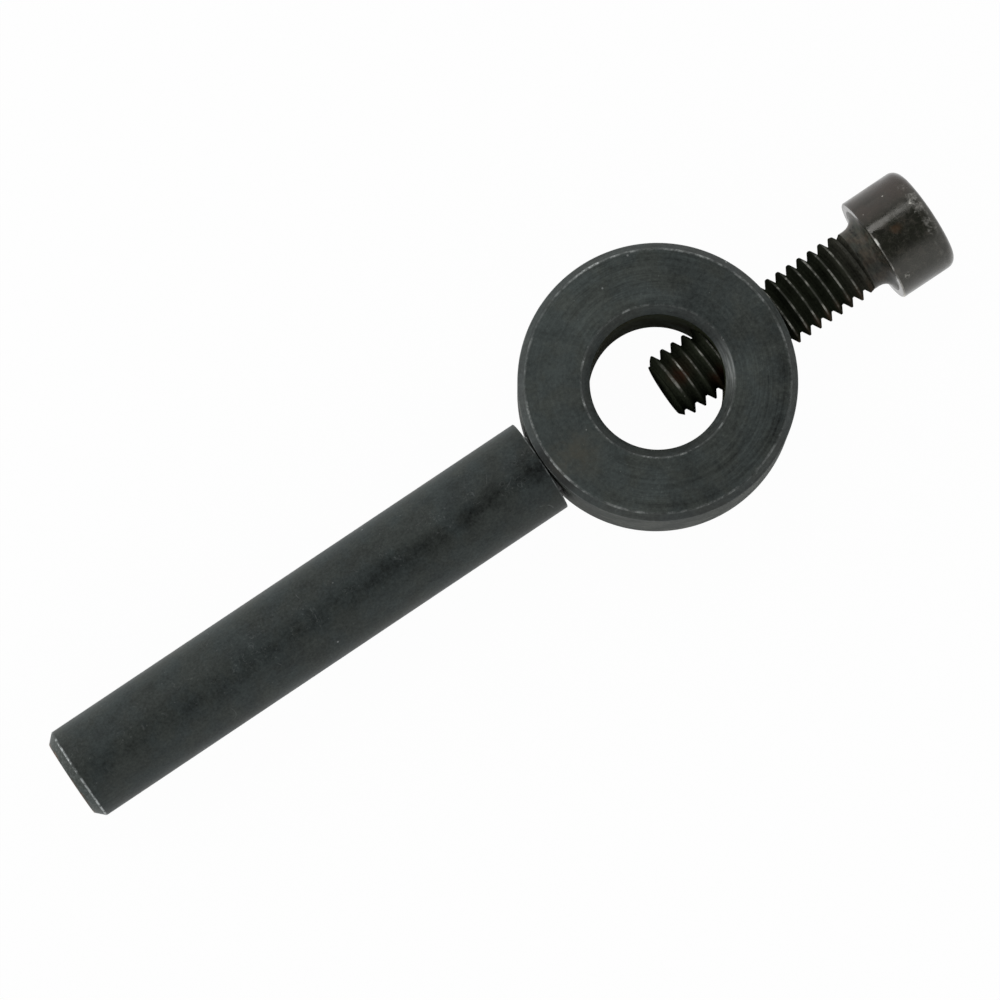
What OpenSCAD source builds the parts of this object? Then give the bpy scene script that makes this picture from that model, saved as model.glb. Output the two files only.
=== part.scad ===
// Lathe dog: a thick ring that slips over the work, a straight drive rod
// that the face plate's pin pushes, and a cap screw that grips the work.
// The origin is the middle of the bore. The bore runs along Z, the rod lies
// along -X, and the screw comes in from +X.

/* [Ring] */
// Outside diameter of the ring
ring_d = 31; // [28:0.5:40]
// Diameter of the bore that takes the work
bore_d = 15; // [12:0.5:17]
// Thickness of the ring along its bore
ring_t = 12.5; // [11.5:0.5:18]
// Chamfer on the two outer edges of the ring
ring_chamfer = 0.8; // [0.2:0.1:1.4]
// Chamfer on the two mouths of the bore
bore_chamfer = 1; // [0.2:0.1:1.6]

/* [Drive rod] */
// Diameter of the rod
rod_d = 11; // [9:0.5:12]
// Length of the rod from its square end to its free end
rod_len = 62.4; // [40:0.2:90]
// Chamfer on the rod's free end
rod_chamfer = 1; // [0.2:0.1:2]
// Gap between the rod's square end and the side of the ring
shoulder_gap = 0.1; // [0.05:0.05:0.3]
// Diameter of the spigot turned on the rod's square end
spigot_d = 7; // [4:0.5:8]
// Radial play of the spigot in its hole
spigot_play = 0.02; // [0.01:0.01:0.05]
// Room left past the end of the spigot, in its hole
spigot_end_room = 0.4; // [0.1:0.1:1]
// Wall left between the spigot's hole and the bore
spigot_wall = 1.5; // [0.5:0.1:2.5]

/* [Clamp screw] */
// Diameter of the screw over its thread
screw_d = 7.94; // [7.6:0.02:8.4]
// Pitch of the thread
thread_pitch = 1.411; // [1:0.001:1.6]
// Angle at which the thread starts, as the screw is turned
thread_start = 80; // [0:5:355]
// Radial play of the screw in its tapped hole
screw_play = 0.05; // [0.02:0.01:0.1]
// Length of the screw below its head
screw_len = 28.1; // [22:0.1:36]
// Distance from the bore's middle to the screw's tip
tip_reach = 0.5; // [-2:0.1:4]
// Distance that the screw's axis stands aside from the rod's line
screw_shift = 0.7; // [0:0.1:1.5]
// Diameter of the screw's head
head_d = 12.5; // [11:0.1:14]
// Height of the screw's head
head_h = 7.2; // [6:0.1:9]
// Round on the outer edge of the head
head_round = 1.2; // [0.3:0.1:1.6]
// Diameter of the smooth neck between the thread and the head
neck_d = 7.3; // [6:0.1:7.5]
// Length of the smooth neck under the head
neck_len = 2.2; // [1.9:0.1:4]
// Fillet where the neck meets the head
neck_fillet = 1.6; // [0.3:0.1:1.8]
// Size of the hex socket across its flats
socket_af = 6.35; // [5:0.05:7]
// Depth of the hex socket
socket_depth = 4.3; // [4.2:0.1:5]
// Chamfer at the mouth of the hex socket
socket_chamfer = 0.4; // [0.1:0.1:0.6]

/* [Hidden] */
$fn = 96;

ring_colour = [0.21, 0.22, 0.22];
rod_colour = [0.24, 0.25, 0.25];
screw_colour = [0.10, 0.10, 0.10];

// Overlap that keeps a cut's ends clear of the faces it opens
cut_past = 0.5;
ring_r = ring_d / 2;
bore_r = bore_d / 2;
rod_x = -(ring_r + shoulder_gap);
spigot_hole_x = -(bore_r + spigot_wall);
spigot_len = spigot_hole_x - rod_x - spigot_end_room;
spigot_hole_d = spigot_d + 2 * spigot_play;
screw_hole_d = screw_d + 2 * screw_play;
screw_r = screw_d / 2;
// The neck stays a little thinner than the thread, and its fillet shorter than the neck
neck_r = min(neck_d / 2, screw_r - 0.15);
fillet_r = min(neck_fillet, neck_len - 0.1);
head_r = head_d / 2;
head_x = tip_reach + screw_len;
// Depth, root, flank and crest of a thread of 60 degrees
thread_depth = 0.6134 * thread_pitch;
root_r = screw_r - thread_depth;
flank_rise = thread_depth * tan(30);
crest_flat = thread_pitch / 8;
// One pitch of the thread as heights and radii: crest, flank, root
thread_profile = [
    [0, screw_r],
    [crest_flat, screw_r],
    [crest_flat + flank_rise, root_r],
    [thread_pitch - flank_rise, root_r]
];
// Facets to a turn of the thread
thread_sides = 24;
// Part of a turn that is cut away below the tip
tip_waste = 1.5;
thread_turns = ceil(screw_len / thread_pitch + tip_waste);
thread_steps = thread_turns * thread_sides;
// Radius of the shape that trims the thread, clear of its crests
trim_r = screw_r + cut_past;
// Height over which the thread fades into the neck
run_out = thread_pitch;
// Corner-to-corner size of the hex socket
socket_ac = socket_af / cos(30);

// Turns what stands along Z so that it points along +X
module along_x(x) {
    translate([x, 0, 0])
        rotate([0, 90, 0])
            children();
}

// Places the screw and its hole on the same axis, aside from the rod's
module on_screw_axis(x) {
    translate([0, -screw_shift, 0])
        along_x(x)
            children();
}

// Half section of the ring, bore at the left
module ring_section() {
    half_t = ring_t / 2;
    polygon([
        [bore_r, -half_t + bore_chamfer],
        [bore_r + bore_chamfer, -half_t],
        [ring_r - ring_chamfer, -half_t],
        [ring_r, -half_t + ring_chamfer],
        [ring_r, half_t - ring_chamfer],
        [ring_r - ring_chamfer, half_t],
        [bore_r + bore_chamfer, half_t],
        [bore_r, half_t - bore_chamfer]
    ]);
}

module carrier_ring() {
    color(ring_colour)
        difference() {
            rotate_extrude()
                ring_section();
            along_x(spigot_hole_x - ring_d)
                cylinder(d = spigot_hole_d, h = ring_d);
            on_screw_axis(0)
                cylinder(d = screw_hole_d, h = ring_d);
        }
}

// Half section of the rod, free end at the bottom and spigot on top
module rod_section() {
    rod_r = rod_d / 2;
    polygon([
        [0, -rod_len],
        [rod_r - rod_chamfer, -rod_len],
        [rod_r, -rod_len + rod_chamfer],
        [rod_r, 0],
        [spigot_d / 2, 0],
        [spigot_d / 2, spigot_len],
        [0, spigot_len]
    ]);
}

module drive_rod() {
    color(rod_colour)
        along_x(rod_x)
            rotate_extrude()
                rod_section();
}

// A point on the thread: corner k of its profile, at angular step i
function thread_point(i, k) =
    let (a = 360 * i / thread_sides, corner = thread_profile[k])
    [
        corner[1] * cos(a),
        corner[1] * sin(a),
        corner[0] + thread_pitch * i / thread_sides
    ];

// That point's place in the list; after corner 3 comes corner 0 of the next turn
function thread_id(i, k) = k < 4 ? 4 * i + k : 4 * (i + thread_sides);

// A helical thread with a ramp at each end, to be cut square at the tip
module thread_blank() {
    first_turn = [for (i = [0 : thread_sides]) thread_id(i, 0)];
    last_turn = [for (i = [thread_steps - thread_sides : thread_steps]) thread_id(i, 3)];
    foot_loop = concat(first_turn, [for (k = [3 : -1 : 1]) thread_id(0, k)]);
    top_loop = concat(last_turn, [for (k = [2 : -1 : 0]) thread_id(thread_steps, k)]);
    foot = thread_id(thread_steps + 1, 0);
    top = foot + 1;
    loop_len = len(foot_loop);

    points = concat(
        [for (i = [0 : thread_steps]) for (k = [0 : 3]) thread_point(i, k)],
        [[0, 0, -thread_pitch], [0, 0, thread_pitch * (thread_turns + 2)]]
    );
    walls = [
        for (i = [0 : thread_steps - 1]) for (k = [0 : 3])
            if (k < 3 || i + 1 + thread_sides <= thread_steps)
                each [
                    [thread_id(i, k), thread_id(i, k + 1), thread_id(i + 1, k + 1)],
                    [thread_id(i, k), thread_id(i + 1, k + 1), thread_id(i + 1, k)]
                ]
    ];
    foot_cap = [
        for (j = [0 : loop_len - 1])
            [foot, foot_loop[j], foot_loop[(j + 1) % loop_len]]
    ];
    top_cap = [
        for (j = [0 : loop_len - 1])
            [top, top_loop[(j + 1) % loop_len], top_loop[j]]
    ];
    polyhedron(points = points, faces = concat(walls, foot_cap, top_cap));
}

// Half section that cuts the thread square at its chamfered tip and fades it at the neck
module shank_limits() {
    fade_len = run_out * (trim_r - neck_r) / (screw_r - neck_r);
    polygon([
        [0, -screw_len],
        [root_r, -screw_len],
        [trim_r, -screw_len + trim_r - root_r],
        [trim_r, -neck_len - fade_len],
        [neck_r, -neck_len],
        [0, -neck_len]
    ]);
}

module threaded_shank() {
    intersection() {
        rotate([0, 0, thread_start])
            translate([0, 0, -screw_len - tip_waste * thread_pitch])
                thread_blank();
        rotate_extrude()
            shank_limits();
    }
}

// Half section of the smooth neck, which starts inside the thread and ends inside the head
module neck_section() {
    polygon([
        [0, -neck_len - run_out],
        [root_r - cut_past, -neck_len - run_out],
        [neck_r, -neck_len],
        [neck_r, cut_past],
        [0, cut_past]
    ]);
}

// Half section of the fillet under the head, which reaches into the neck and the head
module fillet_section() {
    difference() {
        translate([neck_r - cut_past, -fillet_r])
            square(fillet_r + cut_past);
        translate([neck_r + fillet_r, -fillet_r])
            circle(r = fillet_r);
    }
}

// Half section of the head, with its outer edge rounded
module head_section() {
    square([head_r - head_round, head_h]);
    square([head_r, head_h - head_round]);
    translate([head_r - head_round, head_h - head_round])
        circle(r = head_round);
}

// Hex socket with a chamfered mouth, opening at the top of the head
module hex_socket() {
    translate([0, 0, head_h - socket_depth])
        cylinder(d = socket_ac, h = socket_depth + cut_past, $fn = 6);
    translate([0, 0, head_h - socket_chamfer])
        cylinder(
            d1 = socket_ac - 2 * socket_chamfer,
            d2 = socket_ac + 2 * cut_past,
            h = socket_chamfer + cut_past
        );
}

module clamp_screw() {
    color(screw_colour)
        on_screw_axis(head_x)
            difference() {
                union() {
                    threaded_shank();
                    rotate_extrude() {
                        neck_section();
                        fillet_section();
                        head_section();
                    }
                }
                hex_socket();
            }
}

carrier_ring();
drive_rod();
clamp_screw();
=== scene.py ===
import math
import bmesh
import bpy
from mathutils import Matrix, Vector


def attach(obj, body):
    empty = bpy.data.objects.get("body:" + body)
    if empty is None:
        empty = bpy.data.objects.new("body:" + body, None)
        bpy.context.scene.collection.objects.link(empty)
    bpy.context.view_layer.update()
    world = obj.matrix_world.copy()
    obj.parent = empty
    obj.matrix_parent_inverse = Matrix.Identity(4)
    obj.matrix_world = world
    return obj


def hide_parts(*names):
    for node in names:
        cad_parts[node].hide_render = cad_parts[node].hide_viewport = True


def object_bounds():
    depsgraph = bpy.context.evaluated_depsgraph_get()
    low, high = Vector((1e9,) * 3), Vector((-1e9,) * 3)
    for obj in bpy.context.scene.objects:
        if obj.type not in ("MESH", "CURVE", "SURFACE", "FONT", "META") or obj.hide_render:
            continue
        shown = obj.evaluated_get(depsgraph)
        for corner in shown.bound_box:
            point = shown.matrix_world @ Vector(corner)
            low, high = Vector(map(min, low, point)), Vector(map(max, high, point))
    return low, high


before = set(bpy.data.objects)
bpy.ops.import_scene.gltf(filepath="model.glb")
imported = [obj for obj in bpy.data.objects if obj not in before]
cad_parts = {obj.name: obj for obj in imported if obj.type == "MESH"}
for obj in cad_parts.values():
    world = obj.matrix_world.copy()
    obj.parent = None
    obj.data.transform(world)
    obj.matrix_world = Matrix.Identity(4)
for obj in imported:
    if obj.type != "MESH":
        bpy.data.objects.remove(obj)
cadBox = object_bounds()
scene = bpy.context.scene
scene.view_settings.view_transform = "Standard"
print("frame loaded:", ", ".join(sorted(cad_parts)))

# pieces are shaped in millimetres and brought to metres when they are done
shaping = {
    "toMetres": 0.001,
    "mergeWithin": 0.0005,
    "edgeSlack": 0.02,  # how near an edge has to lie to the rim that is asked for
    "roundSteps": 3,
    "smoothAngle": 32,
}


def clearPick():
    if bpy.context.mode != "OBJECT":
        bpy.ops.object.mode_set(mode="OBJECT")
    bpy.ops.object.select_all(action="DESELECT")


def makeActive(obj):
    clearPick()
    obj.select_set(True)
    bpy.context.view_layer.objects.active = obj


def nameNew(name):
    obj = bpy.context.object
    obj.name = name
    obj.data.name = name
    return obj


def startEdit(obj):
    makeActive(obj)
    bpy.ops.object.mode_set(mode="EDIT")


def pick(obj, kind, test):
    bpy.ops.mesh.select_mode(type={"verts": "VERT", "edges": "EDGE", "faces": "FACE"}[kind])
    bpy.ops.mesh.select_all(action="DESELECT")
    mesh = bmesh.from_edit_mesh(obj.data)
    for part in getattr(mesh, kind):
        part.select_set(bool(test(part)))
    mesh.select_flush_mode()
    bmesh.update_edit_mesh(obj.data)


def bevelRim(obj, radius, height, width, segments=1):  # one segment is a chamfer, more make a round
    slack = shaping["edgeSlack"]

    def onRim(edge):
        return all(abs(math.hypot(v.co.x, v.co.y) - radius) < slack
                   and abs(v.co.z - height) < slack for v in edge.verts)

    pick(obj, "edges", onRim)
    bpy.ops.mesh.bevel(offset=width, offset_type="OFFSET", segments=segments, profile=0.5, affect="EDGES")


def roundRim(obj, radius, height, width):
    bevelRim(obj, radius, height, width, shaping["roundSteps"])


def placePiece(obj, location=(0, 0, 0), turn=(0, 0, 0)):
    obj.rotation_euler = [math.radians(a) for a in turn]
    obj.location = location
    makeActive(obj)
    bpy.ops.object.transform_apply(location=True, rotation=True, scale=True)


def addRound(name, sides, radius, depth, middle=(0, 0, 0), turn=(0, 0, 0)):
    clearPick()
    bpy.ops.mesh.primitive_cylinder_add(vertices=sides, radius=radius, depth=depth, location=middle)
    obj = nameNew(name)
    placePiece(obj, middle, turn)
    return obj


def drawChain(name, points):  # a chain of edges in the XZ plane, from (radius, height) points
    clearPick()
    bpy.ops.mesh.primitive_plane_add(size=1)
    obj = nameNew(name)
    startEdit(obj)
    bpy.ops.mesh.select_mode(type="VERT")
    bpy.ops.mesh.select_all(action="SELECT")
    bpy.ops.mesh.merge(type="CENTER")
    bpy.ops.transform.translate(value=(points[0][0], 0, points[0][1]))
    for before, after in zip(points, points[1:]):
        step = (after[0] - before[0], 0, after[1] - before[1])
        bpy.ops.mesh.extrude_vertices_move(TRANSFORM_OT_translate={"value": step})
    return obj


def closeSkin():  # in edit mode: merge doubles, then turn the faces outwards
    bpy.ops.mesh.select_all(action="SELECT")
    bpy.ops.mesh.remove_doubles(threshold=shaping["mergeWithin"])
    bpy.ops.mesh.normals_make_consistent(inside=False)


def latheShape(name, points, steps):
    obj = drawChain(name, points)
    bpy.ops.mesh.select_all(action="SELECT")
    bpy.ops.mesh.spin(steps=steps, angle=2 * math.pi, center=(0, 0, 0), axis=(0, 0, 1))
    closeSkin()
    bpy.ops.object.mode_set(mode="OBJECT")
    return obj


def applyModifier(obj, kind, **settings):
    makeActive(obj)
    modifier = obj.modifiers.new(kind.lower(), kind)
    for key, value in settings.items():
        setattr(modifier, key, value)
    bpy.ops.object.modifier_apply(modifier=modifier.name)


def joinBy(obj, other, operation):
    applyModifier(obj, "BOOLEAN", object=other, operation=operation, solver="EXACT")
    bpy.data.objects.remove(other, do_unlink=True)


def finishPiece(obj, body, node, materials):
    obj.scale = [shaping["toMetres"]] * 3
    makeActive(obj)
    bpy.ops.object.transform_apply(location=True, rotation=True, scale=True)
    bpy.ops.object.shade_smooth_by_angle(angle=math.radians(shaping["smoothAngle"]))
    applyModifier(obj, "WEIGHTED_NORMAL", mode="FACE_AREA_WITH_ANGLE", weight=50, keep_sharp=True)
    obj.data.materials.clear()
    for material in materials:
        obj.data.materials.append(material)
    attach(obj, body)
    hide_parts(node)
    obj.data.calc_loop_triangles()
    print("piece done:", obj.name, len(obj.data.loop_triangles), "triangles")


def paintFaces(obj, index, test):  # the test gets a face's middle in millimetres
    startEdit(obj)
    pick(obj, "faces", lambda face: test(face.calc_center_median() / shaping["toMetres"]))
    obj.active_material_index = index
    bpy.ops.object.material_slot_assign()
    clearPick()


# screw thread, as a solid along Z with a cap past each end
threadForm = {
    "radius": 3.97,
    "pitch": 1.411,
    "depth": 0.8655,
    "crestHalf": 0.0882,
    "flankRun": 0.4997,
    "flankSlope": 0.58,
    "crestRound": ((-0.03, 0.0), (0.002, -0.01), (0.018, -0.031)),  # steps along and out from the corner
    "rootRound": ((-0.030, 0.052), (0.002, 0.015), (0.045, 0.0)),
    "stepsPerTurn": 96,
    "tipWaste": 1.5,  # turns that are cut away below the tip
    "startAngle": 80,
}


def threadSolid(name, turns, spread=0.0):  # spread makes the tapping cutter a little fatter
    form = threadForm
    crest = form["radius"] + spread
    root = crest - form["depth"]
    edge = form["crestHalf"] + spread * form["flankSlope"]
    foot = edge + form["flankRun"]
    half = form["pitch"] / 2
    flank = [(crest + out, edge + along) for along, out in form["crestRound"]]
    flank += [(root + out, foot + along) for along, out in form["rootRound"]]
    profile = [(root, -half)] + [(r, -z) for r, z in reversed(flank)] + flank + [(root, half)]
    obj = drawChain(name, profile)
    bpy.ops.object.mode_set(mode="OBJECT")
    applyModifier(obj, "SCREW", axis="Z", angle=2 * math.pi, screw_offset=form["pitch"],
                  iterations=turns, steps=form["stepsPerTurn"], render_steps=form["stepsPerTurn"])
    startEdit(obj)
    bpy.ops.mesh.select_all(action="SELECT")
    bpy.ops.mesh.remove_doubles(threshold=shaping["mergeWithin"])
    middle = turns * form["pitch"] / 2
    for way in (-1, 1):  # each open end is drawn out to a point
        pick(obj, "edges", lambda edge: edge.is_boundary and way * (edge.verts[0].co.z - middle) > 0)
        bpy.ops.mesh.extrude_region_move(TRANSFORM_OT_translate={"value": (0, 0, way * form["pitch"])})
        bpy.ops.mesh.merge(type="CENTER")
    bpy.ops.mesh.select_all(action="SELECT")
    bpy.ops.mesh.normals_make_consistent(inside=False)
    start = -screwForm["shankLength"] - form["tipWaste"] * form["pitch"]
    placePiece(obj, (0, 0, start + form["crestHalf"]), (0, 0, form["startAngle"]))
    return obj


screwAxis = {"shift": -0.7, "headHeight": 28.6}  # aside from the rod's line; head's underside from the bore


def toScrewAxis(obj):
    placePiece(obj, (screwAxis["headHeight"], screwAxis["shift"], 0), (0, 90, 0))


# small builders for the material trees
class Finish:
    def __init__(self, name):
        self.material = bpy.data.materials.new(name)
        self.material.use_nodes = True
        self.tree = self.material.node_tree
        self.tree.nodes.clear()
        self.shader = self.node("ShaderNodeBsdfPrincipled")
        out = self.node("ShaderNodeOutputMaterial")
        self.tree.links.new(self.shader.outputs["BSDF"], out.inputs["Surface"])

    def node(self, kind, **settings):
        made = self.tree.nodes.new(kind)
        for key, value in settings.items():
            setattr(made, key, value)
        return made

    def feed(self, socket, value):
        if isinstance(value, bpy.types.NodeSocket):
            self.tree.links.new(value, socket)
        elif value is not None:
            socket.default_value = value

    def math(self, operation, a, b=None):
        made = self.node("ShaderNodeMath", operation=operation)
        for socket, value in zip(made.inputs, (a, b)):
            self.feed(socket, value)
        return made.outputs[0]

    def chain(self, operation, values):
        total = values[0]
        for value in values[1:]:
            total = self.math(operation, total, value)
        return total

    def add(self, *values):
        return self.chain("ADD", values)

    def times(self, *values):
        return self.chain("MULTIPLY", values)

    def most(self, *values):
        return self.chain("MAXIMUM", values)

    def less(self, a, b):
        return self.math("SUBTRACT", a, b)

    def gap(self, a, b):  # how far apart two values are
        return self.math("ABSOLUTE", self.less(a, b))

    def vector(self, operation, a, b=None):
        made = self.node("ShaderNodeVectorMath", operation=operation)
        self.feed(made.inputs[0], a)
        self.feed(made.inputs[1], b)
        return made.outputs["Value" if operation in ("LENGTH", "DISTANCE", "DOT_PRODUCT") else "Vector"]

    def combine(self, x, y, z):
        made = self.node("ShaderNodeCombineXYZ")
        for socket, value in zip(made.inputs, (x, y, z)):
            self.feed(socket, value)
        return made.outputs[0]

    def split(self, vector):
        made = self.node("ShaderNodeSeparateXYZ")
        self.feed(made.inputs[0], vector)
        return made.outputs

    def place(self, centre=(0, 0, 0)):  # object coordinates in millimetres, from this centre
        coords = self.node("ShaderNodeTexCoord").outputs["Object"]
        made = self.node("ShaderNodeMapping", vector_type="POINT")
        self.feed(made.inputs["Vector"], coords)
        made.inputs["Location"].default_value = [-a for a in centre]
        made.inputs["Scale"].default_value = (1000, 1000, 1000)
        return made.outputs[0]

    def along(self, p, way):
        return self.vector("DOT_PRODUCT", p, way)

    def noise(self, vector, scale, detail=2.0, rough=0.5, distort=0.0):
        made = self.node("ShaderNodeTexNoise")
        self.feed(made.inputs["Vector"], vector)
        made.inputs["Scale"].default_value = scale
        made.inputs["Detail"].default_value = detail
        made.inputs["Roughness"].default_value = rough
        made.inputs["Distortion"].default_value = distort
        return made.outputs["Fac"]

    def spread(self, value, low, high, outLow=0.0, outHigh=1.0, smooth=True):
        made = self.node("ShaderNodeMapRange", interpolation_type="SMOOTHSTEP" if smooth else "LINEAR")
        for key, item in (("Value", value), ("From Min", low), ("From Max", high),
                          ("To Min", outLow), ("To Max", outHigh)):
            self.feed(made.inputs[key], item)
        return made.outputs[0]

    def sway(self, noise, low, high):  # a noise's usual span brought to this one, without easing
        return self.spread(noise, 0.3, 0.7, low, high, False)

    def fade(self, value, inner, outer, strength=1.0):  # full up to inner, gone at outer
        return self.spread(value, inner, outer, strength, 0.0)

    def near(self, p, centre, inner, outer, strength=1.0):
        return self.fade(self.vector("DISTANCE", p, centre), inner, outer, strength)

    def edgeDistance(self, radius, height, edge):  # from a round edge, given as its radius and height
        return self.vector("DISTANCE", self.combine(radius, height, 0.0), (*edge, 0.0))

    def onEdge(self, radius, height, edge, inner, outer, strength=1.0):
        return self.fade(self.edgeDistance(radius, height, edge), inner, outer, strength)

    def specks(self, vector, scale, size, share):  # a few small round spots
        made = self.node("ShaderNodeTexVoronoi", feature="F1")
        self.feed(made.inputs["Vector"], vector)
        made.inputs["Scale"].default_value = scale
        spot = self.fade(made.outputs["Distance"], size * 0.4, size)
        chosen = self.math("LESS_THAN", self.split(made.outputs["Color"])[0], share)
        return self.times(spot, chosen)

    def mixColour(self, factor, a, b, blend="MIX"):
        made = self.node("ShaderNodeMix", data_type="RGBA", blend_type=blend)
        self.feed(made.inputs["Factor"], factor)
        colours = [s for s in made.inputs if s.type == "RGBA"]
        for socket, value in zip(colours, (a, b)):
            self.feed(socket, value)
        return [s for s in made.outputs if s.type == "RGBA"][0]

    def mix(self, factor, a, b):
        made = self.node("ShaderNodeMix", data_type="FLOAT")
        values = [s for s in made.inputs if s.type == "VALUE"]
        for socket, value in zip(values, (factor, a, b)):
            self.feed(socket, value)
        return [s for s in made.outputs if s.type == "VALUE"][0]

    def tint(self, colour, other):
        return self.mixColour(1.0, colour, other, "MULTIPLY")

    def shade(self, colour, tone):  # lighter or darker by one number
        return self.tint(colour, self.combine(tone, tone, tone))

    def bump(self, height, depth, strength=1.0, below=None):
        made = self.node("ShaderNodeBump")
        made.inputs["Strength"].default_value = strength
        made.inputs["Distance"].default_value = depth
        self.feed(made.inputs["Height"], height)
        self.feed(made.inputs["Normal"], below)
        return made.outputs[0]

    def coat(self, colour, rough, normal, gloss, metal=None):
        sockets = self.shader.inputs
        self.feed(sockets["Base Color"], colour)
        self.feed(sockets["Roughness"], rough)
        self.feed(sockets["Normal"], normal)
        self.feed(sockets["Metallic"], metal)
        sockets["Specular IOR Level"].default_value = gloss
        return self.material


# ring: a cylinder with its bore bridged through, chamfers, then the two side holes
ringForm = {
    "radius": 15.5,
    "boreRadius": 7.5,
    "thickness": 12.5,
    "outerChamfer": 0.8,
    "boreChamfer": 1.0,
    "edgeRound": 0.1,
    "segments": 256,
    "tapTurns": 13,
    "tapSpread": 0.05,
    "tapReach": 4.4,  # all of the tapped thread lies this near to the screw's axis
    "spigotHoleRadius": 3.52,
    "spigotHoleEnd": -9.0,
    "spigotHoleSides": 96,
    "drillLength": 12.0,
}

# spots are in millimetres; a way is a direction over the ring's radius, so it gives -1 to 1 across the ring
ringSteel = {
    "face": (0.0408, 0.0478, 0.0450, 1),
    "cool": (0.975, 1.0, 1.02, 1),
    "warm": (1.02, 1.0, 0.965, 1),
    "dust": (0.085, 0.090, 0.082, 1),
    "bareAndGlint": (0.42, 0.44, 0.43, 1),
    "stain": (0.066, 0.061, 0.046, 1),
    "rough": 0.42,
    "gloss": 0.22,
    "paintedLightWay": (-0.0535, 0.0361, 0.0),
    "darkReflectionWay": (0.0122, -0.0633, 0.0),
    "upWay": (0.0361, 0.0535, 0.0),
    "edgeGlintWay": (-0.030, 0.057, 0.0),
    "edgeLineGapWay": (-0.0419, 0.0536, 0.0),
    "darkReflectionRadius": 13.8,
    "paleSpot": (7.9, -4.2, 6.25),
    "mouthWearAndHighlight": (7.3, -3.0, 5.8),
    "jointShadeAndSootSpot": (-15.0, -1.8, 5.85),
    "stainSpot": (-12.2, -1.7, 6.25),
}


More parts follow.
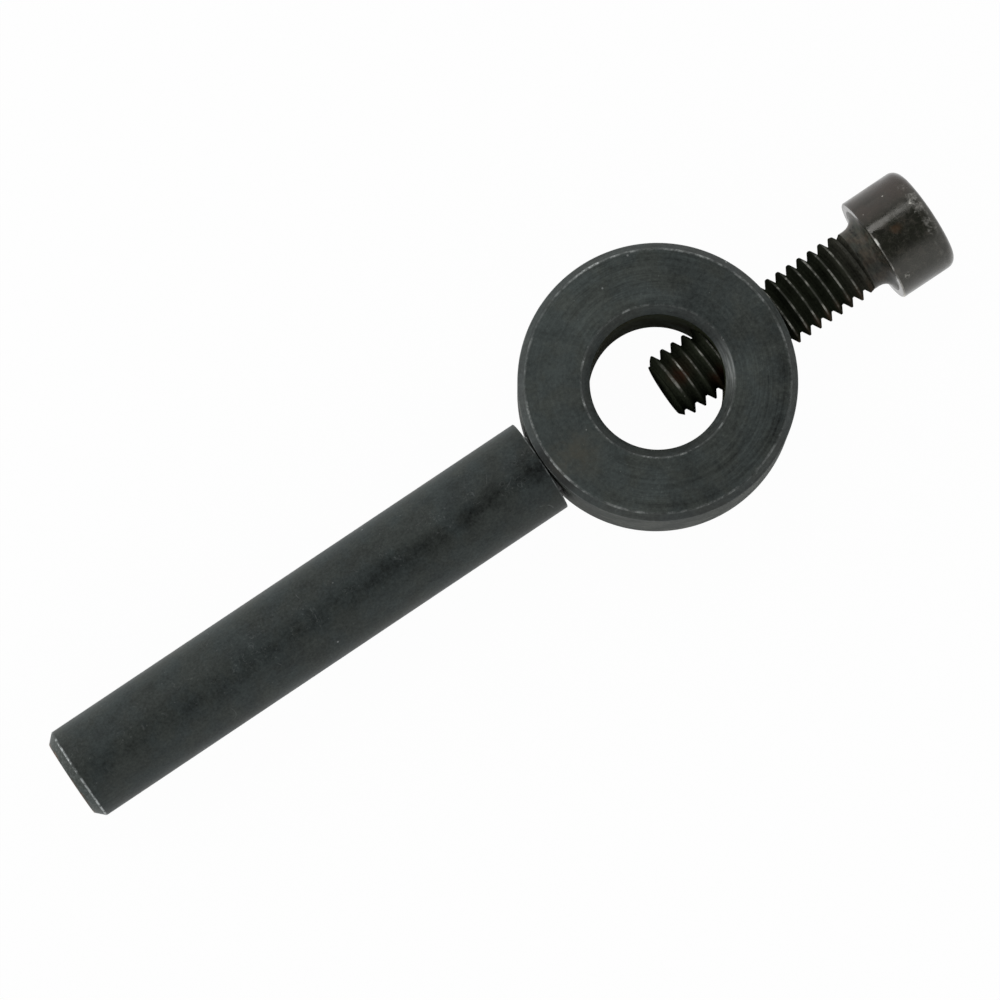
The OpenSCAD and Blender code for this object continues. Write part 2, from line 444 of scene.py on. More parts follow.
def ringFinish():
    look, form = ringSteel, ringForm
    half = form["thickness"] / 2
    faceEdge = form["radius"] - form["outerChamfer"]
    mouthEdge = form["boreRadius"] + form["boreChamfer"]
    f = Finish("blackened_ring_steel")
    p = f.place()
    x, y, z = f.split(p)
    r = f.vector("LENGTH", f.combine(x, y, 0.0))
    h = f.math("ABSOLUTE", z)
    around = f.math("ARCTAN2", y, x)
    marks = f.noise(f.combine(f.times(r, 2.2), f.times(around, 0.9), f.times(z, 0.1)), 1.0, 4.0, 0.7)
    fineMarks = f.noise(f.combine(f.times(r, 7.0), f.times(around, 3.0), f.times(z, 0.1)), 1.0, 2.0, 0.5)
    cloud = f.noise(p, 0.16, 3.0, 0.55)
    mottle = f.noise(p, 0.7, 4.0, 0.65)
    grain = f.noise(p, 2.4, 4.0, 0.75)
    flecks = f.noise(p, 0.85, 5.0, 0.72)
    breaks = f.noise(p, 0.30, 4.0, 0.7)
    shown = f.spread(f.noise(p, 0.10, 2.0, 0.5), 0.38, 0.62, 0.25, 1.2)  # where the tool marks show

    tone = f.add(f.sway(cloud, 0.82, 1.18), f.sway(grain, -0.34, 0.34), f.sway(mottle, -0.18, 0.18))
    tone = f.add(tone, f.times(f.sway(marks, -0.24, 0.24), shown))
    tone = f.add(tone, f.times(f.sway(fineMarks, -0.13, 0.13), shown))
    # painted light: the face is made lighter towards the side the window light comes from
    tone = f.add(tone, f.times(f.add(f.along(p, look["paintedLightWay"]), 0.1), 0.22))
    tone = f.add(tone, f.near(p, look["paleSpot"], 0.8, 4.4, 0.32))
    # painted dark reflection: a darker band near the face's outer edge, on one side
    darkReflectionBand = f.fade(f.gap(r, look["darkReflectionRadius"]), 0.1, 0.7)
    darkReflectionSide = f.spread(f.along(p, look["darkReflectionWay"]), 0.0, 0.8)
    tone = f.less(tone, f.times(darkReflectionBand, darkReflectionSide, 0.22))
    chamfer = f.fade(f.gap(f.add(r, h), faceEdge + half), 0.03, 0.09)
    mouth = f.fade(f.gap(f.less(r, h), mouthEdge - half), 0.05, 0.12)
    jointShadeAndSoot = f.near(p, look["jointShadeAndSootSpot"], 1.5, 4.5, 0.58)  # painted shade and soot in the joint beside the rod
    # painted shade: the outer chamfer is made darker on its lower side
    lowSideShade = f.spread(f.along(p, look["upWay"]), -0.9, -0.2, 0.26, 0.08)
    tone = f.times(tone, f.less(1.0, f.times(chamfer, f.add(jointShadeAndSoot, lowSideShade))))
    tone = f.times(tone, f.less(1.0, f.times(mouth, 0.26)))

    hue = f.mixColour(f.spread(f.noise(p, 0.28, 3.0, 0.6), 0.40, 0.60), look["cool"], look["warm"])
    base = f.tint(f.shade(look["face"], tone), hue)
    stain = f.times(f.near(p, look["stainSpot"], 0.4, 4.2, 0.55), f.spread(mottle, 0.36, 0.62, 0.15, 1.0))
    base = f.mixColour(stain, base, look["stain"])
    dusty = f.times(f.spread(grain, 0.58, 0.74), f.spread(cloud, 0.42, 0.62, 0.08, 0.6))
    base = f.mixColour(dusty, base, look["dust"])

    # worn bare edges with painted glints, made stronger on the side the light comes from
    edgeGlintSide = f.spread(f.along(p, look["edgeGlintWay"]), -1.0, 0.9, 0.34, 1.0)
    edgeLineGap = f.spread(f.along(p, look["edgeLineGapWay"]), 0.86, 0.95, 1.0, 0.3)
    outer = f.times(f.onEdge(r, h, (faceEdge, half), 0.05, 0.22), edgeGlintSide, edgeLineGap)
    outer = f.times(outer, f.spread(flecks, 0.44, 0.62, 0.18, 0.9))
    corner = f.onEdge(r, h, (form["radius"], half - form["outerChamfer"]), 0.04, 0.18, 0.2)
    corner = f.times(corner, edgeGlintSide)
    inner = f.times(f.onEdge(r, h, (mouthEdge, half), 0.05, 0.20), f.spread(x, 5.0, -3.0, 0.65, 1.35))
    inner = f.times(inner, f.spread(flecks, 0.48, 0.62, 0.08, 0.62))
    edges = f.times(f.most(outer, corner, inner), f.spread(breaks, 0.40, 0.60, 0.25, 1.0))
    # worn patch on the bore's mouth chamfer, painted bright to carry part of its highlight
    rubbed = f.times(mouth, f.near(p, look["mouthWearAndHighlight"], 0.6, 3.8))
    rubbed = f.times(rubbed, f.spread(fineMarks, 0.34, 0.64, 0.25, 1.0))
    clusters = f.spread(mottle, 0.44, 0.60, 0.15, 1.0)
    spots = f.most(f.times(f.specks(p, 0.40, 0.07, 0.5), 0.5),
                   f.times(f.specks(p, 1.1, 0.10, 0.3), clusters, 0.16))
    # worn bare metal together with the painted glints and highlight
    bareAndGlint = f.most(edges, f.times(rubbed, 0.30), spots)

    rough = f.add(f.sway(cloud, look["rough"] - 0.05, look["rough"] + 0.07), f.sway(marks, -0.06, 0.06))
    normal = f.bump(marks, 0.000012, 0.5)
    normal = f.bump(fineMarks, 0.000005, 0.5, normal)
    normal = f.bump(grain, 0.000010, 0.4, normal)
    return f.coat(f.mixColour(bareAndGlint, base, look["bareAndGlint"]), rough, normal, look["gloss"], bareAndGlint)


# the ring's two turned walls
rimSteel = {
    "dark": (0.036, 0.041, 0.037, 1),
    "other": (0.098, 0.104, 0.096, 1),
    "otherFrom": (0.40, 0.66, 0.0, 0.8),
    "marks": (2.6, 1.4),  # along the bore and around it
    "marksTone": (0.6, 1.4),
    "grain": (2.2, 4.0, 0.7),
    "grainTone": 0.35,
    "cloud": 0.25,
    "rough": (0.55, 0.70),
    "gloss": 0.04,
}
# the bore's wall is dark and dull, partly as oily bored steel and partly as painted shade inside the bore
boreSteel = {
    "dark": (0.0180, 0.0215, 0.0120, 1),
    "other": (0.0230, 0.0220, 0.0120, 1),
    "otherFrom": (0.40, 0.65, 0.0, 1.0),
    "marks": (3.0, 1.2),
    "marksTone": (0.75, 1.25),
    "grain": (2.4, 3.0, 0.6),
    "grainTone": 0.25,
    "cloud": 0.35,
    "rough": (0.77, 0.95),
    "gloss": 0.01,
}


def wallFinish(name, look):
    f = Finish(name)
    p = f.place()
    x, y, z = f.split(p)
    alongBore, aroundBore = look["marks"]
    sweep = f.combine(f.times(z, alongBore), f.times(f.math("ARCTAN2", y, x), aroundBore), 0.0)
    marks = f.noise(sweep, 1.0, 3.0, 0.65)
    grain = f.noise(p, *look["grain"])
    cloud = f.noise(p, look["cloud"], 4.0, 0.6)
    tone = f.add(f.sway(marks, *look["marksTone"]), f.sway(grain, -look["grainTone"], look["grainTone"]))
    base = f.mixColour(f.spread(cloud, *look["otherFrom"]), look["dark"], look["other"])
    rough = f.sway(cloud, *look["rough"])
    return f.coat(f.shade(base, tone), rough, f.bump(marks, 0.000012, 0.5), look["gloss"])


def isInside(place):  # the bore's wall, and the thread of the tapped hole
    form = ringForm
    out = math.hypot(place.x, place.y)
    fromTap = math.hypot(place.y - screwAxis["shift"], place.z)
    inTap = place.x > 0 and fromTap < form["tapReach"] and out < form["radius"] - 0.2
    inBore = out < form["boreRadius"] + 0.03
    return abs(place.z) < form["thickness"] / 2 - form["boreChamfer"] + 0.02 and (inBore or inTap)


def isRim(place):  # the outer wall
    form = ringForm
    onWall = math.hypot(place.x, place.y) > form["radius"] - 0.03
    return onWall and abs(place.z) < form["thickness"] / 2 - form["outerChamfer"] - 0.02


def makeRing():
    form = ringForm
    half = form["thickness"] / 2
    radius, bore = form["radius"], form["boreRadius"]
    outerCut, boreCut = form["outerChamfer"], form["boreChamfer"]
    ring = addRound("ring_body", form["segments"], radius, form["thickness"])
    startEdit(ring)
    pick(ring, "faces", lambda face: abs(face.normal.z) > 0.9)
    shrink = (radius - bore) * math.cos(math.pi / form["segments"])
    bpy.ops.mesh.inset(thickness=shrink, use_individual=True)
    bpy.ops.mesh.bridge_edge_loops()
    for side in (1, -1):
        bevelRim(ring, radius, side * half, outerCut)
        bevelRim(ring, bore, side * half, boreCut)
    for side in (1, -1):
        roundRim(ring, radius - outerCut, side * half, form["edgeRound"])
        roundRim(ring, radius, side * (half - outerCut), form["edgeRound"])
        roundRim(ring, bore + boreCut, side * half, form["edgeRound"])
        roundRim(ring, bore, side * (half - boreCut), form["edgeRound"])
    closeSkin()
    tap = threadSolid("tap_cutter", form["tapTurns"], form["tapSpread"])
    toScrewAxis(tap)
    joinBy(ring, tap, "DIFFERENCE")
    drillMiddle = (form["spigotHoleEnd"] - form["drillLength"] / 2, 0, 0)
    drill = addRound("spigot_cutter", form["spigotHoleSides"], form["spigotHoleRadius"], form["drillLength"],
                     drillMiddle, (0, 90, 0))
    joinBy(ring, drill, "DIFFERENCE")
    finishes = [ringFinish()]
    finishes.append(wallFinish("oily_shaded_bore_steel", boreSteel))
    finishes.append(wallFinish("dull_rim_steel", rimSteel))
    finishPiece(ring, "carrier", "carrier_ring", finishes)
    paintFaces(ring, 1, isInside)
    paintFaces(ring, 2, isRim)


# rod: a cylinder with a chamfered free end and a spigot drawn out of the square end
rodForm = {
    "radius": 5.5,
    "length": 62.4,
    "squareEnd": -15.6,
    "chamfer": 1.0,
    "edgeRound": 0.08,
    "spigotRadius": 3.5,
    "spigotLength": 6.2,
    "spigotChamfer": 0.3,
    "segments": 160,
}

rodSteel = {
    "dark": (0.0335, 0.0400, 0.0382, 1),
    "cool": (0.975, 1.0, 1.02, 1),
    "warm": (1.03, 1.0, 0.96, 1),
    "bareAndGlint": (0.40, 0.42, 0.42, 1),
    "rust": (0.165, 0.078, 0.036, 1),
    "rough": 0.48,
    "gloss": 0.14,
    "jointShadeAndSootSpot": (-16.6, 0.2, 5.5),
    "darkTopShadeSpan": (-58.0, -18.0),  # the painted dark shade along the top gets stronger from here to here
}


def rodFinish():
    look, form = rodSteel, rodForm
    freeEnd = form["squareEnd"] - form["length"]
    chamferStart = freeEnd + form["chamfer"]
    f = Finish("blackened_rod_steel")
    p = f.place()
    x, y, z = f.split(p)
    r = f.vector("LENGTH", f.combine(0.0, y, z))
    cloud = f.noise(p, 0.13, 4.0, 0.6)
    mottle = f.noise(p, 0.62, 5.0, 0.7)
    grain = f.noise(p, 3.2, 4.0, 0.7)
    flecks = f.noise(p, 0.9, 5.0, 0.72)
    breaks = f.noise(p, 0.6, 5.0, 0.7)
    drawn = f.noise(f.vector("MULTIPLY", p, (0.12, 0.5, 0.5)), 1.0, 4.0, 0.6)
    wander = f.noise(f.vector("MULTIPLY", p, (0.11, 0.15, 0.0)), 1.0, 2.0, 0.5)

    tone = f.add(f.sway(cloud, 0.9, 1.1), f.sway(mottle, -0.22, 0.22))
    tone = f.add(tone, f.sway(grain, -0.32, 0.32), f.sway(drawn, -0.14, 0.14))
    side = f.add(y, f.sway(wander, 1.2, 0.2))  # the painted dark shade wanders along the top
    darkTopShade = f.times(f.fade(f.math("ABSOLUTE", side), 0.1, 1.6), f.spread(z, 3.6, 5.0))
    darkTopShade = f.times(darkTopShade, f.spread(mottle, 0.30, 0.70, 1.0, 0.8))
    darkTopShadeTone = f.add(f.spread(x, *look["darkTopShadeSpan"], 0.12, 0.44), f.fade(cloud, 0.42, 0.58, 0.05))
    tone = f.less(tone, f.times(darkTopShade, darkTopShadeTone))
    # painted light: the rod is made lighter towards its +Y side, which faces the key lamp
    tone = f.add(tone, f.spread(y, 2.8, 5.3, 0.0, 0.32))
    # painted dark reflection of the ring, with soot, on the rod's top by the joint
    tone = f.less(tone, f.near(p, look["jointShadeAndSootSpot"], 0.6, 3.2, 0.30))
    endBand = f.fade(x, chamferStart - 0.1, chamferStart + 0.02)
    # painted light: the end chamfer is made lighter
    tone = f.add(tone, f.times(endBand, 0.5))

    hue = f.mixColour(f.spread(f.noise(p, 0.24, 3.0, 0.6), 0.40, 0.60), look["cool"], look["warm"])
    base = f.tint(f.shade(look["dark"], tone), hue)
    endEdge = f.edgeDistance(r, x, (form["radius"] - form["chamfer"], freeEnd))
    endEdge = f.fade(f.add(endEdge, f.sway(mottle, -0.1, 0.25)), 0.02, 0.42)
    rust = f.times(endEdge, f.spread(breaks, 0.40, 0.60, 0.05, 0.8))
    base = f.mixColour(rust, base, look["rust"])

    chamferEdge = f.onEdge(r, x, (form["radius"], chamferStart), 0.05, 0.20)
    squareEdge = f.onEdge(r, x, (form["radius"], form["squareEnd"]), 0.04, 0.22)
    # worn bare edges, with painted glints along the chamfer's edge and the square end
    worn = f.most(f.times(chamferEdge, f.spread(flecks, 0.44, 0.60, 0.08, 0.95)),
                  f.times(squareEdge, f.spread(breaks, 0.42, 0.64, 0.0, 0.45)),
                  f.times(endBand, f.spread(grain, 0.4, 0.7, 0.0, 0.12)))
    spots = f.most(f.times(f.specks(p, 0.30, 0.05, 0.5), 0.4), f.times(f.specks(p, 1.0, 0.11, 0.3), 0.09))
    dustPlace = f.times(f.fade(f.gap(side, 1.0), 0.6, 3.2), f.spread(z, 2.5, 4.0))
    dustPlace = f.times(dustPlace, f.spread(f.noise(p, 0.30, 3.0, 0.6), 0.46, 0.60))
    lint = f.fade(f.gap(f.noise(p, 0.75, 2.0, 0.5, 0.8), 0.5), 0.0, 0.012, 0.10)
    dust = f.times(f.most(lint, f.times(f.specks(p, 2.0, 0.28, 0.4), 0.10)), dustPlace)
    hair = f.fade(f.gap(f.noise(p, 0.15, 1.0, 0.4, 0.3), 0.5), 0.0, 0.0035)
    hair = f.times(hair, f.spread(f.noise(p, 0.36, 2.0, 0.5), 0.61, 0.66, 0.0, 0.12))
    bareAndGlint = f.most(worn, spots, dust, hair)

    rough = f.sway(mottle, look["rough"] - 0.06, look["rough"] + 0.08)
    normal = f.bump(grain, 0.000008, 0.45)
    normal = f.bump(mottle, 0.000030, 0.4, normal)
    return f.coat(f.mixColour(bareAndGlint, base, look["bareAndGlint"]), rough, normal, look["gloss"], bareAndGlint)


def makeRod():
    form = rodForm
    radius, length, spigot = form["radius"], form["length"], form["spigotRadius"]
    rod = addRound("rod_body", form["segments"], radius, length, (0, 0, -length / 2))
    startEdit(rod)
    bevelRim(rod, radius, -length, form["chamfer"])
    roundRim(rod, radius, -length + form["chamfer"], form["edgeRound"])
    roundRim(rod, radius - form["chamfer"], -length, form["edgeRound"])
    pick(rod, "faces", lambda face: face.normal.z > 0.9)
    shrink = (radius - spigot) * math.cos(math.pi / form["segments"])
    bpy.ops.mesh.inset(thickness=shrink)
    bpy.ops.mesh.extrude_region_move(TRANSFORM_OT_translate={"value": (0, 0, form["spigotLength"])})
    bevelRim(rod, spigot, form["spigotLength"], form["spigotChamfer"])
    roundRim(rod, radius, 0, form["edgeRound"])
    closeSkin()
    placePiece(rod, (form["squareEnd"], 0, 0), (0, 90, 0))
    finishPiece(rod, "carrier", "drive_rod", [rodFinish()])


# screw: thread cut to its tip and run-out, then the neck and head, then the hex socket
screwForm = {
    "shankLength": 28.1,
    "threadTurns": 22,
    "neckRadius": 3.65,
    "neckLength": 2.2,
    "runOut": 1.411,
    "neckFillet": 1.6,
    "headRadius": 6.25,
    "headHeight": 7.2,
    "headRound": 1.2,
    "underChamfer": 0.12,
    "socketFlats": 6.35,
    "socketDepth": 4.3,
    "socketSink": 0.6,
    "segments": 128,
    "overlap": 0.4,  # the cut shank ends this far inside the neck
    "cutPast": 1.0,
}

# in these three finishes X runs along the screw, from the bore's middle, and Y and Z from the screw's axis
screwSteel = {
    "dark": (0.0098, 0.0106, 0.0062, 1),
    "bareAndGlint": (0.42, 0.41, 0.38, 1),
    "dent": (0.62, 0.62, 0.58, 1),
    "tan": (0.062, 0.034, 0.016, 1),
    "warm": (0.0190, 0.0105, 0.0060, 1),
    "rough": 0.165,
    "gloss": 0.50,
    "tint": (1.0, 0.975, 0.93, 1),
    "tanSqueeze": (0.7, 1.0, 1.0),  # the brown spot is longer along the screw
    "tanSpot": (22.15, 0.1, 6.2),
    "dentSpot": (28.65, 0.0, 6.2),
    "dotSpot": (32.3, 4.05, 4.76),
    "nickSpot": (29.7, -4.75, 4.06),
}


def screwFinish():
    look, form = screwSteel, screwForm
    under = screwAxis["headHeight"]
    top = under + form["headHeight"]
    f = Finish("black_screw_steel")
    p = f.place((0, screwAxis["shift"], 0))
    x, y, z = f.split(p)
    r = f.vector("LENGTH", f.combine(0.0, y, z))
    cloud = f.noise(p, 0.35, 3.0, 0.55)
    grain = f.noise(p, 3.0, 4.0, 0.7)
    breaks = f.noise(p, 0.7, 5.0, 0.7)
    smudge = f.noise(p, 1.1, 4.0, 0.65, 0.8)

    base = f.shade(look["dark"], f.add(f.sway(cloud, 0.8, 1.25), f.sway(grain, -0.4, 0.4)))
    warm = f.times(f.spread(x, under - 1.6, under), f.spread(y, 1.5, 4.0))
    warm = f.times(warm, f.spread(cloud, 0.3, 0.6, 0.3, 1.0))
    base = f.mixColour(warm, base, look["warm"])
    tanAway = f.vector("DISTANCE", f.vector("MULTIPLY", p, look["tanSqueeze"]), look["tanSpot"])
    tanAway = f.add(tanAway, f.sway(f.noise(p, 0.9, 3.0, 0.6), -0.5, 0.5))
    base = f.mixColour(f.fade(tanAway, 0.0, 0.9, 0.55), base, look["tan"])
    base = f.mixColour(f.spread(smudge, 0.50, 0.68, 0.0, 0.12), base, look["tan"])

    underEdge = f.edgeDistance(r, x, (form["headRadius"], under))
    dent = f.times(f.fade(underEdge, 0.14, 0.30), f.near(p, look["dentSpot"], 0.25, 0.6))
    # painted glint along the underside edge, kept to the part where it shows
    underEdgeGlint = f.times(f.fade(underEdge, 0.06, 0.22), f.spread(y, 2.6, 1.0, 0.04, 1.0))
    underEdgeGlint = f.times(underEdgeGlint, f.spread(breaks, 0.38, 0.60, 0.10, 0.75))
    # chips and painted glints along the head's rounded top edge, on the sides where they show
    rimGlintSide = f.times(f.spread(y, 4.2, 2.8), f.spread(y, -3.0, -1.2, 0.15, 1.0))
    onRound = f.times(f.spread(x, top - 1.7, top - 1.3), f.fade(x, top - 0.7, top - 0.2))
    chipsAndGlints = f.spread(f.noise(p, 1.0, 6.0, 0.75, 0.4), 0.46, 0.60, 0.03, 0.48)
    chipsAndGlints = f.times(onRound, chipsAndGlints, rimGlintSide)
    rimWave = f.add(x, f.sway(breaks, -0.25, 0.25))
    rimGlintLine = f.times(f.fade(f.gap(rimWave, top - 1.55), 0.05, 0.20), rimGlintSide)
    rimGlintLine = f.times(rimGlintLine, f.spread(f.noise(p, 0.9, 5.0, 0.7), 0.50, 0.60, 0.0, 0.8))
    rubbed = f.add(f.spread(smudge, 0.44, 0.64, 0.0, 0.035), f.spread(grain, 0.52, 0.72, 0.0, 0.03))
    rubbed = f.times(rubbed, f.spread(y, 1.5, 3.5, 1.0, 0.35))
    spots = f.times(f.specks(p, 0.45, 0.05, 0.4), 0.35)
    dot = f.near(p, look["dotSpot"], 0.06, 0.14, 0.7)
    nick = f.times(f.near(p, look["nickSpot"], 0.2, 0.6), f.spread(grain, 0.50, 0.58, 0.0, 0.4))
    bareAndGlint = f.most(underEdgeGlint, chipsAndGlints, rimGlintLine, rubbed, spots, dot, nick)
    colour = f.mixColour(dent, f.mixColour(bareAndGlint, base, look["bareAndGlint"]), look["dent"])
    metal = f.times(bareAndGlint, f.less(1.0, dent))

    rough = f.add(f.sway(cloud, look["rough"] - 0.06, look["rough"] + 0.08),
                  f.spread(x, under + 0.9, top - 1.8, -0.04, 0.08),
                  f.spread(smudge, 0.35, 0.65, -0.07, 0.07, False))
    normal = f.bump(f.noise(p, 0.5, 2.0, 0.5), 0.000060, 0.6)
    normal = f.bump(smudge, 0.000020, 0.5, normal)
    normal = f.bump(grain, 0.000004, 0.4, normal)
    f.shader.inputs["Specular Tint"].default_value = look["tint"]
    return f.coat(colour, rough, normal, look["gloss"], metal)


neckSteel = {
    "dark": (0.0310, 0.0325, 0.0265, 1),
    "brown": (0.042, 0.036, 0.028, 1),
    "rough": 0.34,
    "gloss": 0.12,
}


def neckFinish():
    look = neckSteel
    f = Finish("brown_neck_steel")
    p = f.place((0, screwAxis["shift"], 0))
    x, y, z = f.split(p)
    streaks = f.noise(f.vector("MULTIPLY", p, (3.0, 0.7, 0.7)), 1.0, 4.0, 0.65)
    cloud = f.noise(p, 0.6, 3.0, 0.6)
    grain = f.noise(p, 3.0, 4.0, 0.7)
    # streaks around the neck, drawn with strong contrast that also paints the lamp's sheen on the ridges
    tone = f.add(f.sway(streaks, 0.4, 1.6), f.sway(grain, -0.3, 0.3))
    tone = f.times(tone, f.spread(y, -2.4, 0.4, 1.0, 1.45))  # painted light: lighter on one side
    base = f.mixColour(f.spread(cloud, 0.42, 0.62), look["dark"], look["brown"])
    rough = f.sway(streaks, look["rough"] - 0.08, look["rough"] + 0.1)
    return f.coat(f.shade(base, tone), rough, f.bump(streaks, 0.000030, 0.5), look["gloss"])


threadSteel = {
    "dark": (0.0128, 0.0150, 0.0098, 1),
    "worn": (0.038, 0.037, 0.030, 1),
    "bareAndGlint": (0.42, 0.42, 0.38, 1),
    "rust": (0.040, 0.016, 0.009, 1),
    "tan": (0.066, 0.042, 0.028, 1),
    "rough": 0.46,
    "gloss": 0.0,
    "rustSpots": ((3.0, 0.5, 3.4), (6.6, -2.5, 2.4)),
}


def threadFinish():
    look = threadSteel
    radius = threadForm["radius"]
    f = Finish("oily_thread_steel")
    p = f.place((0, screwAxis["shift"], 0))
    x, y, z = f.split(p)
    r = f.vector("LENGTH", f.combine(0.0, y, z))
    cloud = f.noise(p, 0.35, 3.0, 0.55)
    grain = f.noise(p, 3.0, 4.0, 0.7)
    breaks = f.noise(p, 0.55, 5.0, 0.7)

    tone = f.add(f.sway(cloud, 0.7, 1.3), f.sway(grain, -0.4, 0.4))
    tone = f.times(tone, f.spread(x, 7.0, 11.0, 1.8, 1.0))  # paler in the bore
    base = f.mixColour(f.spread(x, 22.5, 26.0, 0.0, 0.75), look["dark"], look["worn"])  # lighter towards the neck
    base = f.shade(base, tone)
    rustAway = f.math("MINIMUM", *[f.vector("DISTANCE", p, spot) for spot in look["rustSpots"]])
    rust = f.times(f.fade(rustAway, 0.5, 2.2, 0.9), f.spread(cloud, 0.40, 0.58, 0.25, 1.0))
    base = f.mixColour(rust, base, look["rust"])
    lowCrest = f.times(f.spread(r, 3.5, 3.9), f.spread(y, -1.8, -3.4), f.spread(x, 12.0, 16.0))
    base = f.mixColour(f.times(lowCrest, f.spread(cloud, 0.35, 0.6, 0.1, 0.5)), base, look["tan"])

    lower = f.spread(x, 25.0, 26.4, 0.0, 0.32, False)  # the crests get lower towards the neck
    lower = f.add(lower, f.fade(x, 2.3, 2.9, 0.12))  # the first crest's bare band and painted highlight are wider
    crest = f.spread(f.add(r, lower), radius - 0.06, radius - 0.01)
    crest = f.times(crest, f.spread(f.math("ABSOLUTE", z), 1.6, 3.3))  # bare crest metal, painted as a highlight where it faces up or down
    crest = f.times(crest, f.spread(x, 23.6, 25.0, 1.0, 0.12))
    middle = f.spread(f.gap(y, 0.2), 1.0, 2.3, 1.0, 0.06)
    crest = f.times(crest, f.mix(f.spread(x, 8.0, 14.0), middle, 1.0))  # in the bore the painted highlight is kept to the crest's middle
    # painted highlight: stronger at the tip
    crest = f.times(crest, f.spread(x, 4.0, 7.0, 1.5, 1.0))
    spots = f.times(f.specks(p, 0.6, 0.08, 0.3), 0.2)
    bareAndGlint = f.most(f.times(crest, f.spread(breaks, 0.44, 0.64, 0.08, 0.6)), spots)

    rough = f.sway(cloud, look["rough"] - 0.05, look["rough"] + 0.1)
    normal = f.bump(grain, 0.000012, 0.5)
    return f.coat(f.mixColour(bareAndGlint, base, look["bareAndGlint"]), rough, normal, look["gloss"], bareAndGlint)


def arcPoints(centreR, centreZ, radius, fromAngle, toAngle, count):
    angles = [math.radians(fromAngle + (toAngle - fromAngle) * i / count) for i in range(count + 1)]
    return [(centreR + radius * math.cos(a), centreZ + radius * math.sin(a)) for a in angles]


def makeScrew():
    form = screwForm
    root = threadForm["radius"] - threadForm["depth"]
    tip, neckEnd = -form["shankLength"], -form["neckLength"]
    neck, head, top = form["neckRadius"], form["headRadius"], form["headHeight"]
    slope = form["runOut"] / (threadForm["radius"] - neck)
    overlap = form["overlap"]
    limits = [(0, tip), (root, tip), (head, tip + head - root), (head, neckEnd - slope * (head - neck)),
              (neck - overlap, neckEnd + slope * overlap), (0, neckEnd + slope * overlap)]
    screw = threadSolid("screw_body", form["threadTurns"])
    joinBy(screw, latheShape("shank_limits", limits, form["segments"]), "INTERSECT")

    fillet, chamfer, bend = form["neckFillet"], form["underChamfer"], form["headRound"]
    corners = form["socketFlats"] / math.sqrt(3)
    mouth, sink = corners + 0.03, form["socketSink"]
    neckStart = neckEnd - form["runOut"]
    profile = [(0, neckStart), (root - 0.5, neckStart), (neck, neckEnd)]
    profile += arcPoints(neck + fillet, -fillet, fillet, 180, 90, 6)
    profile += [(head - chamfer, 0), (head, chamfer)]
    profile += arcPoints(head - bend, top - bend, bend, 0, 90, 10)
    profile += [(mouth, top), (mouth - sink, top - sink), (0, top - sink)]
    joinBy(screw, latheShape("head_body", profile, form["segments"]), "UNION")

    depth, past = form["socketDepth"], form["cutPast"]
    socketMiddle = (0, 0, top - depth / 2 + past / 2)
    socket = addRound("socket_cutter", 6, corners, depth + past, socketMiddle, (0, 0, 30))
    joinBy(screw, socket, "DIFFERENCE")
    toScrewAxis(screw)
    finishes = [screwFinish(), neckFinish(), threadFinish()]
    finishPiece(screw, "screw", "clamp_screw", finishes)
    under = screwAxis["headHeight"]
    paintFaces(screw, 1, lambda place: place.x < under - 0.02)
    paintFaces(screw, 2, lambda place: place.x < under - form["neckLength"] - 0.05)


makeRing()
makeRod()
makeScrew()

# stage: a pale floor, a soft sky and two lamps
stage = {
    "floorRadius": 1.6,
    "white": (1, 1, 1, 1),
    "card": (0.8, 0.8, 0.8, 1),
    "glow": 0.975,
    "sky": ((0.0, 1.2), (0.42, 1.15), (0.60, 0.9), (0.80, 0.25), (1.0, 0.16)),  # height and level
    "lamps": {
        "key_softbox": {"way": (0.0, 0.565, 0.825), "distance": 0.9, "size": (0.5, 0.19), "power": 1.05},
        "window_card": {"way": (-0.82, 0.57, 0.24), "distance": 0.9, "size": (0.25, 0.3), "power": 1.0},
    },
}


def makeFloor():
    clearPick()
    bpy.ops.mesh.primitive_circle_add(vertices=128, radius=stage["floorRadius"], fill_type="NGON",
                                      location=(0, 0, cadBox[0][2]))
    floor = nameNew("pale_floor")
    material = bpy.data.materials.new("pale_floor_card")
    material.use_nodes = True
    tree = material.node_tree
    tree.nodes.clear()
    out = tree.nodes.new("ShaderNodeOutputMaterial")
    path = tree.nodes.new("ShaderNodeLightPath")
    card = tree.nodes.new("ShaderNodeBsdfDiffuse")
    card.inputs["Color"].default_value = stage["card"]
    glow = tree.nodes.new("ShaderNodeEmission")
    glow.inputs["Color"].default_value = stage["white"]
    lit = tree.nodes.new("ShaderNodeMixShader")
    lit.inputs["Fac"].default_value = stage["glow"]
    seen = tree.nodes.new("ShaderNodeMixShader")
    direct = tree.nodes.new("ShaderNodeMath")
    direct.operation = "MAXIMUM"
    anyRay = tree.nodes.new("ShaderNodeMath")
    anyRay.operation = "MAXIMUM"
    link = tree.links.new
    link(path.outputs["Is Camera Ray"], direct.inputs[0])
    link(path.outputs["Is Glossy Ray"], direct.inputs[1])
    link(direct.outputs[0], anyRay.inputs[0])
    link(path.outputs["Is Transmission Ray"], anyRay.inputs[1])
    link(card.outputs[0], lit.inputs[1])
    link(glow.outputs[0], lit.inputs[2])
    link(anyRay.outputs[0], seen.inputs["Fac"])
    link(card.outputs[0], seen.inputs[1])
    link(lit.outputs[0], seen.inputs[2])
    link(seen.outputs[0], out.inputs["Surface"])
    floor.data.materials.append(material)


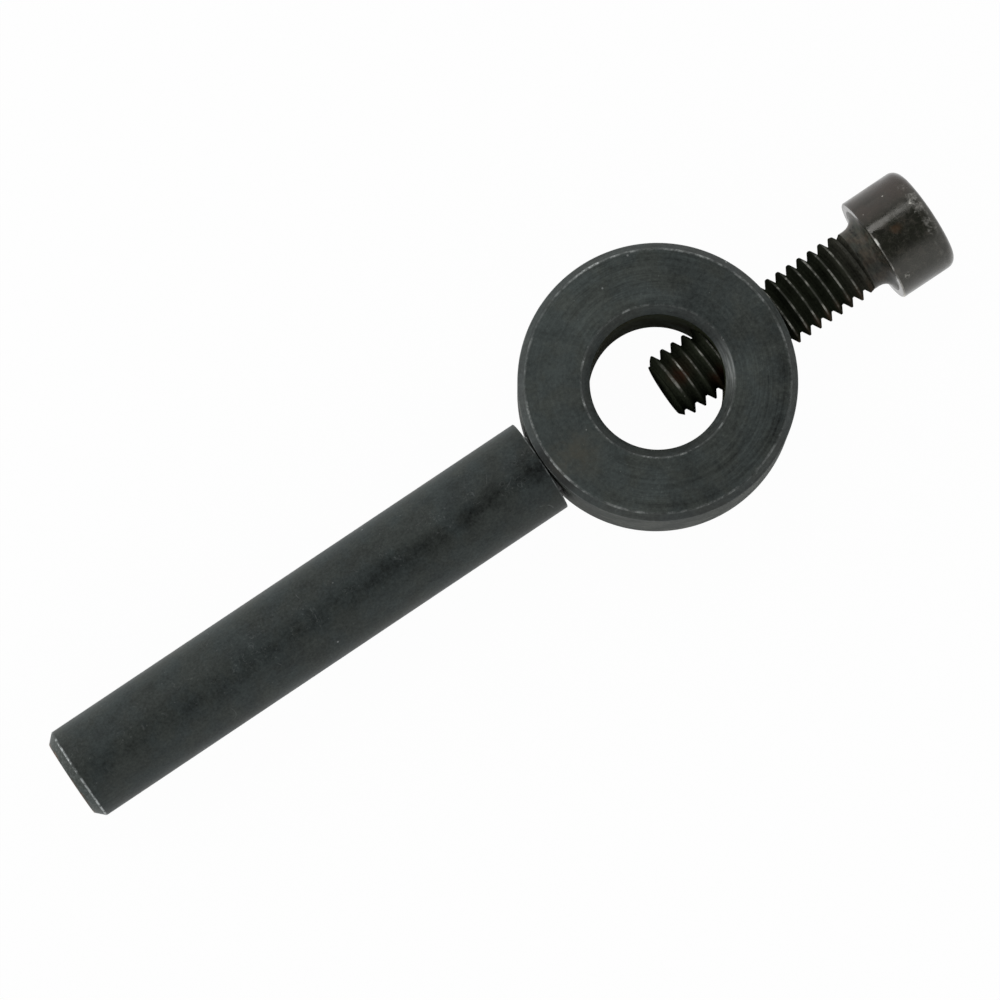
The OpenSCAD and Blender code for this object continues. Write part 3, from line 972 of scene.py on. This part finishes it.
def makeWorld():
    world = bpy.data.worlds.new("studio")
    scene.world = world
    world.use_nodes = True
    tree = world.node_tree
    tree.nodes.clear()
    out = tree.nodes.new("ShaderNodeOutputWorld")
    back = tree.nodes.new("ShaderNodeBackground")
    coords = tree.nodes.new("ShaderNodeTexCoord")
    parts = tree.nodes.new("ShaderNodeSeparateXYZ")
    ramp = tree.nodes.new("ShaderNodeValToRGB")
    link = tree.links.new
    link(coords.outputs["Generated"], parts.inputs[0])
    link(parts.outputs["Z"], ramp.inputs["Fac"])
    link(ramp.outputs["Color"], back.inputs["Color"])
    link(back.outputs[0], out.inputs["Surface"])
    stops = ramp.color_ramp.elements  # it starts with a stop at each end
    for height, level in stage["sky"][1:-1]:
        stops.new(height)
    for stop, (height, level) in zip(stops, stage["sky"]):
        stop.position = height
        stop.color = (level, level, level, 1)


def makeLamp(name, way, distance, size, power):
    clearPick()
    bpy.ops.object.light_add(type="AREA", location=Vector(way).normalized() * distance)
    lamp = bpy.context.object
    lamp.name = name
    lamp.data.shape = "RECTANGLE"
    lamp.data.size, lamp.data.size_y = size
    lamp.data.energy = power
    lamp.rotation_euler = Vector(way).to_track_quat("Z", "Y").to_euler()


makeFloor()
makeWorld()
for lampName, lampLook in stage["lamps"].items():
    makeLamp(lampName, **lampLook)
print("stage done: floor, sky and", len(stage["lamps"]), "lamps")

# camera, fitted to the photograph
cameraLook = {
    "turn": (6.02, 0.14, -33.9),
    "lens": 216,
    "sensor": 36,
    "aim": (-0.02145, -0.00069, 0.0),
    "distance": 0.666,
    "clipStart": 0.01,
}


def makeCamera():
    clearPick()
    bpy.ops.object.camera_add()
    camera = bpy.context.object
    camera.name = "photo_camera"
    camera.data.sensor_width = cameraLook["sensor"]
    camera.data.lens = cameraLook["lens"]
    camera.data.clip_start = cameraLook["clipStart"]
    camera.rotation_euler = [math.radians(a) for a in cameraLook["turn"]]
    back = camera.rotation_euler.to_matrix() @ Vector((0, 0, 1))
    camera.location = Vector(cameraLook["aim"]) + back * cameraLook["distance"]
    scene.camera = camera


makeCamera()
clearPick()
print("camera done:", cameraLook["lens"], "mm lens")
